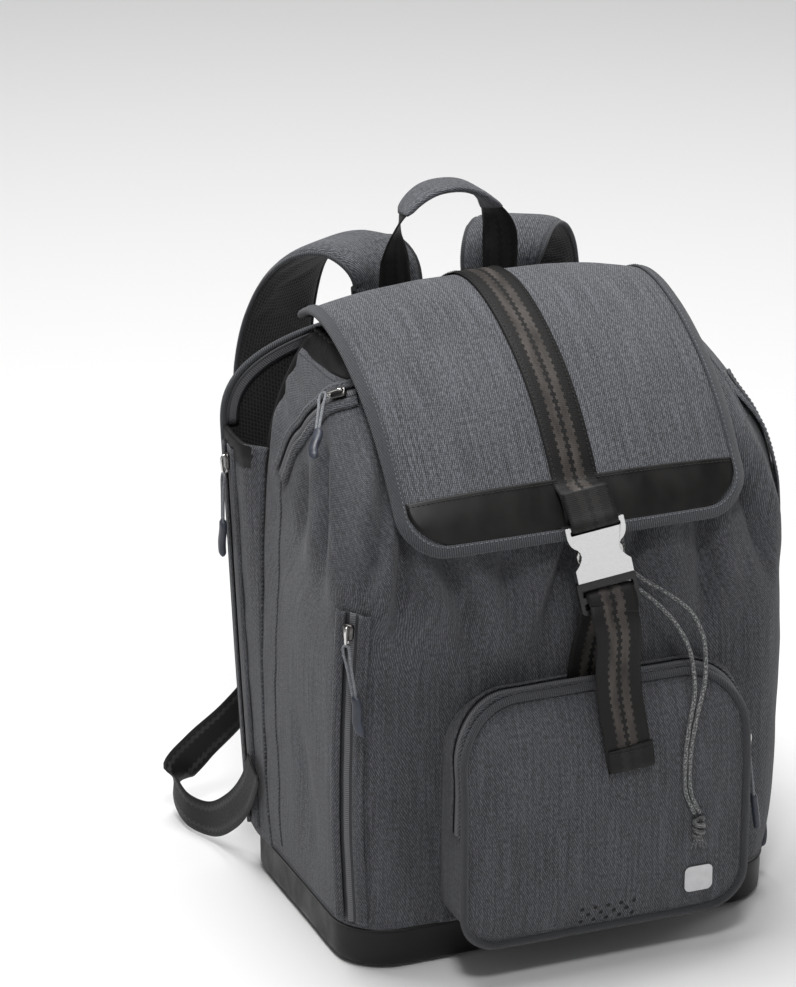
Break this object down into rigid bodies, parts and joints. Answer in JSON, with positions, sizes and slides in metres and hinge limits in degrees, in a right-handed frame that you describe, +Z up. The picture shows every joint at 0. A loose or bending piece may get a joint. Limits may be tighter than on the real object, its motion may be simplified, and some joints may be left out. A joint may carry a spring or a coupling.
{
  "type": "racket backpack",
  "caption": "Flap-top racket backpack with a racket sleeve open at its upper left, a front pocket, a side-release buckle, a drawcord mouth, zips, a carry handle and shoulder straps.",
  "frame": {"origin": "middle of the base, on the underside of the boot", "axes": "+Z up, -Y towards the bag's front pocket, +X to the right as seen from the front"},
  "size_m": [0.3782, 0.3583, 0.4603],
  "materials": {
    "twill": "blue-grey melange twill",
    "boot_fabric": "coated wipe-clean fabric",
    "collar_fabric": "plain weave",
    "trim_fabric": "smooth matt",
    "binding": "ribbed binding",
    "webbing": "woven webbing",
    "spacer_mesh": "spacer mesh",
    "board": "matt",
    "buckle_metal": "brushed",
    "badge_metal": "satin",
    "buckle_plastic": "gloss",
    "slider_metal": "dark nickel",
    "cord": "braided cord",
    "grip_rubber": "matt",
    "zip_tape": "knitted tape with coil"
  },
  "bodies": {
    "bag": {"base_boot": "boot_fabric", "base_board": "board", "left_side_panel": "twill", "front_panel": "twill", "right_side_panel": "twill", "neck_collar": "collar_fabric", "drawcord_eyelet": "slider_metal", "neck_drawcord": "cord", "divider_panel": "twill", "frame_sheet": "board", "back_panel": "spacer_mesh", "back_pad_left": "spacer_mesh", "back_pad_right": "spacer_mesh", "racket_gusset_left": "twill", "racket_gusset_right": "twill", "pocket_gusset": "twill", "pocket_face": "twill", "pocket_piping": "binding", "badge": "badge_metal", "anchor_strap": "webbing", "side_zip_tape": "zip_tape", "access_zip_tape": "zip_tape", "racket_zip_tape": "zip_tape", "pocket_zip_tape": "zip_tape", "right_zip_tape": "zip_tape", "lower_webbing_left": "webbing", "lower_webbing_right": "webbing", "drawcord_left": "cord", "drawcord_right": "cord", "drawcord_knot": "cord", "flap_yoke": "twill"},
    "flap": {"flap_panel": "twill", "flap_band_left": "trim_fabric", "flap_band_right": "trim_fabric", "flap_binding": "binding", "flap_strap": "webbing", "buckle_housing": "buckle_metal"},
    "plug": {"buckle_plug": "buckle_plastic", "strap_tail": "webbing"},
    "buckle_arm_left": {"buckle_arm_left": "buckle_plastic"},
    "buckle_arm_right": {"buckle_arm_right": "buckle_plastic"},
    "carry_handle": {"handle_webbing": "webbing"},
    "shoulder_strap_left": {"shoulder_strap_left": "twill", "ladder_lock_left": "buckle_plastic"},
    "shoulder_strap_right": {"shoulder_strap_right": "twill", "ladder_lock_right": "buckle_plastic"},
    "side_zip_slider": {"side_zip_slider": "slider_metal"},
    "side_zip_pull": {"side_zip_pull": "cord", "side_zip_grip": "grip_rubber"},
    "access_zip_slider": {"access_zip_slider": "slider_metal"},
    "access_zip_pull": {"access_zip_pull": "cord", "access_zip_grip": "grip_rubber"},
    "racket_zip_slider": {"racket_zip_slider": "slider_metal"},
    "racket_zip_pull": {"racket_zip_pull": "cord", "racket_zip_grip": "grip_rubber"},
    "pocket_zip_slider": {"pocket_zip_slider": "slider_metal"},
    "pocket_zip_pull": {"pocket_zip_pull": "cord", "pocket_zip_grip": "grip_rubber"},
    "right_zip_slider": {"right_zip_slider": "slider_metal"},
    "right_zip_pull": {"right_zip_pull": "cord"}
  },
  "joints": [
    {"name": "flap_fold", "type": "hinge", "parent": "bag", "child": "flap", "pos_m": [-0.004, 0.045, 0.421], "axis": [-1, 0, 0], "range_deg": [0, 135]},
    {"name": "plug_release", "type": "slide", "parent": "bag", "child": "plug", "axis": [0.1371, -0.2501, -0.9585], "range_m": [0, 0.024]},
    {"name": "arm_left_squeeze", "type": "hinge", "parent": "plug", "child": "buckle_arm_left", "pos_m": [-0.00833, -0.1307, 0.27384], "axis": [0.1768, 0.9582, -0.2248], "range_deg": [0, 6], "stiffness_Nm_per_rad": 0.05},
    {"name": "arm_right_squeeze", "type": "hinge", "parent": "plug", "child": "buckle_arm_right", "pos_m": [0.01214, -0.13361, 0.27753], "axis": [-0.1768, -0.9582, 0.2248], "range_deg": [0, 6], "stiffness_Nm_per_rad": 0.05},
    {"name": "side_zip_travel", "type": "slide", "parent": "bag", "child": "side_zip_slider", "axis": [-0.0014, 0.0384, -0.9993], "range_m": [0, 0.185]},
    {"name": "access_zip_travel", "type": "slide", "parent": "bag", "child": "access_zip_slider", "axis": [-0.6799, 0.6226, -0.3874], "range_m": [0, 0.04]},
    {"name": "racket_zip_travel", "type": "slide", "parent": "bag", "child": "racket_zip_slider", "axis": [0.033, -0.0499, -0.9982], "range_m": [0, 0.12]},
    {"name": "pocket_zip_travel", "type": "slide", "parent": "bag", "child": "pocket_zip_slider", "axis": [0, 0, 1], "range_m": [0, 0.013]},
    {"name": "right_zip_travel", "type": "slide", "parent": "bag", "child": "right_zip_slider", "axis": [0.0094, -0.0375, 0.9993], "range_m": [0, 0.18]},
    {"name": "side_zip_pull_lift", "type": "hinge", "parent": "side_zip_slider", "child": "side_zip_pull", "pos_m": [-0.15777, -0.09068, 0.23468], "axis": [-0.5938, 0.7755, -0.2145], "range_deg": [0, 95]},
    {"name": "access_zip_pull_lift", "type": "hinge", "parent": "access_zip_slider", "child": "access_zip_pull", "pos_m": [-0.14022, -0.00762, 0.37479], "axis": [-0.6987, 0.5797, -0.4193], "range_deg": [0, 95]},
    {"name": "racket_zip_pull_lift", "type": "hinge", "parent": "racket_zip_slider", "child": "racket_zip_pull", "pos_m": [-0.17119, 0.09792, 0.2864], "axis": [-0.0033, 0.9987, 0.05], "range_deg": [0, 95]},
    {"name": "pocket_zip_pull_lift", "type": "hinge", "parent": "pocket_zip_slider", "child": "pocket_zip_pull", "pos_m": [0.11204, -0.12541, 0.1316], "axis": [-0.3605, -0.9314, -0.0505], "range_deg": [0, 95]},
    {"name": "right_zip_pull_lift", "type": "hinge", "parent": "right_zip_slider", "child": "right_zip_pull", "pos_m": [0.16429, -0.04778, 0.07644], "axis": [-0.0393, -0.9991, -0.0187], "range_deg": [0, 95]},
    {"name": "handle_tilt", "type": "hinge", "parent": "bag", "child": "carry_handle", "pos_m": [0, 0.1224, 0.39], "axis": [1, 0, 0], "range_deg": [-4, 12], "stiffness_Nm_per_rad": 0.06},
    {"name": "shoulder_strap_left_swing", "type": "hinge", "parent": "bag", "child": "shoulder_strap_left", "pos_m": [-0.04, 0.128, 0.39], "axis": [1, 0, 0], "range_deg": [0, 5]},
    {"name": "shoulder_strap_right_swing", "type": "hinge", "parent": "bag", "child": "shoulder_strap_right", "pos_m": [0.04, 0.128, 0.39], "axis": [1, 0, 0], "range_deg": [0, 5]}
  ]
}
